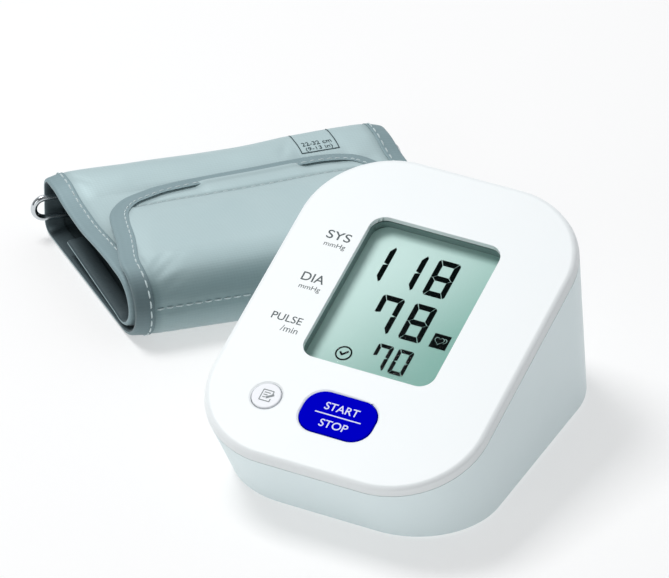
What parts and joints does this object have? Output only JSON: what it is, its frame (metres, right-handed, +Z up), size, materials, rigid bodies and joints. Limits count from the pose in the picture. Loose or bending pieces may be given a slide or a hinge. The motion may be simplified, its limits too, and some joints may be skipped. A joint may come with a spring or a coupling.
{
  "type": "blood_pressure_monitor",
  "caption": "Digital upper-arm blood pressure monitor: a white desk unit with a sloping face, a large display and push buttons, and its rolled grey-blue arm cuff.",
  "frame": {"origin": "Middle of the desk unit's outline at its underside, on the surface that its feet stand on. The rolled cuff lies behind and to the left of it.", "axes": "+Z up; +X to the user's right; +Y away from the user, so the sloping face looks towards -Y and up."},
  "size_m": [0.2256, 0.2152, 0.0746],
  "materials": {
    "cover_white": "satin white ABS moulding",
    "case_grey": "satin pale blue-grey ABS moulding",
    "screw_steel": "zinc-plated thread-forming screw",
    "foot_rubber": "soft dark grey rubber",
    "window_clear": "clear polished acrylic",
    "frame_teal": "dark teal-grey moulding",
    "display_mint": "reflective liquid-crystal glass with a pale green film",
    "strip_rubber": "layered conductive rubber strip",
    "board_green": "glass-fibre board with green solder mask",
    "chip_black": "moulded epoxy",
    "switch_black": "moulded switch plastic",
    "key_blue": "vivid blue moulding with a soft gloss",
    "key_white": "white moulding with a soft gloss",
    "contact_nickel": "nickel-plated spring sheet",
    "cell_silver": null,
    "socket_black": "moulded nylon",
    "pin_brass": "plated brass pin",
    "air_plastic": "moulded acetal",
    "hose_silicone": "translucent silicone",
    "motor_can": null,
    "shaft_steel": "ground steel",
    "cradle_foam": "closed-cell foam",
    "cuff_cloth": "pale grey-blue brushed nylon",
    "cuff_lining": "darker grey-blue brushed nylon",
    "binding_tape": "folded woven tape",
    "bladder_film": "welded elastic film",
    "hook_tape": "hook tape",
    "webbing_black": "black woven webbing",
    "ring_chrome": "bright-plated wire"
  },
  "bodies": {
    "monitor": {"lower_case": "case_grey", "front_cover": "cover_white", "case_screws": "screw_steel", "feet": "foot_rubber", "display_window": "window_clear", "lcd_frame": "frame_teal", "lcd_panel": "display_mint", "lcd_connectors": "strip_rubber", "main_board": "board_green", "board_screws": "screw_steel", "controller_chip": "chip_black", "start_switch": "switch_black", "memory_switch": "switch_black", "battery_flat_contacts": "contact_nickel", "battery_leaf_contacts": "contact_nickel", "air_jack": "socket_black", "power_jack": "socket_black", "power_pin": "pin_brass", "air_manifold": "air_plastic", "jack_hose": "hose_silicone", "pump_hose": "hose_silicone", "valve_hose": "hose_silicone", "sensor_hose": "hose_silicone", "pressure_sensor": "air_plastic", "pump_head": "air_plastic", "pump_motor": "motor_can", "pump_cradle": "cradle_foam", "release_valve": "air_plastic", "valve_cap": "shaft_steel", "battery_1": "cell_silver", "battery_2": "cell_silver", "battery_3": "cell_silver", "battery_4": "cell_silver"},
    "start_key": {"start_button": "key_blue", "start_plunger": "switch_black"},
    "memory_key": {"memory_button": "key_white", "memory_plunger": "switch_black"},
    "door": {"battery_door": "case_grey"},
    "pump_rotor": {"pump_shaft": "shaft_steel"},
    "valve_core": {"valve_plunger": "shaft_steel"},
    "cuff": {"cuff_outer_cloth": "cuff_cloth", "cuff_inner_cloth": "cuff_lining", "cuff_binding_left": "binding_tape", "cuff_binding_right": "binding_tape", "cuff_bladder": "bladder_film", "cuff_hook_patch": "hook_tape", "cuff_ring_webbing": "webbing_black", "cuff_hose_port": "socket_black"},
    "ring": {"cuff_ring": "ring_chrome"}
  },
  "joints": [
    {"name": "start_press", "type": "slide", "parent": "monitor", "child": "start_key", "axis": [0, 0.3396, -0.9406], "range_m": [0, 0.0008], "stiffness_N_per_m": 1500, "springref_m": -0.0005},
    {"name": "memory_press", "type": "slide", "parent": "monitor", "child": "memory_key", "axis": [0, 0.3396, -0.9406], "range_m": [0, 0.0008], "stiffness_N_per_m": 1500, "springref_m": -0.0005},
    {"name": "door_swing", "type": "hinge", "parent": "monitor", "child": "door", "pos_m": [0, -0.0131, 0.00215], "axis": [-1, 0, 0], "range_deg": [0, 95]},
    {"name": "rotor_spin", "type": "hinge", "parent": "monitor", "child": "pump_rotor", "pos_m": [0.02, -0.032, 0.0146], "axis": [1, 0, 0], "continuous": true},
    {"name": "valve_lift", "type": "slide", "parent": "monitor", "child": "valve_core", "axis": [0, 0, 1], "range_m": [0, 0.001], "stiffness_N_per_m": 300, "springref_m": -0.0005},
    {"name": "cuff_lift", "type": "slide", "parent": "monitor", "child": "cuff", "axis": [0, 0, 1], "range_m": [0, 0.15]},
    {"name": "ring_swing", "type": "hinge", "parent": "cuff", "child": "ring", "pos_m": [-0.16891, 0.0475, 0.0086], "axis": [0.7361, 0.6769, 0], "range_deg": [0, 50]}
  ]
}
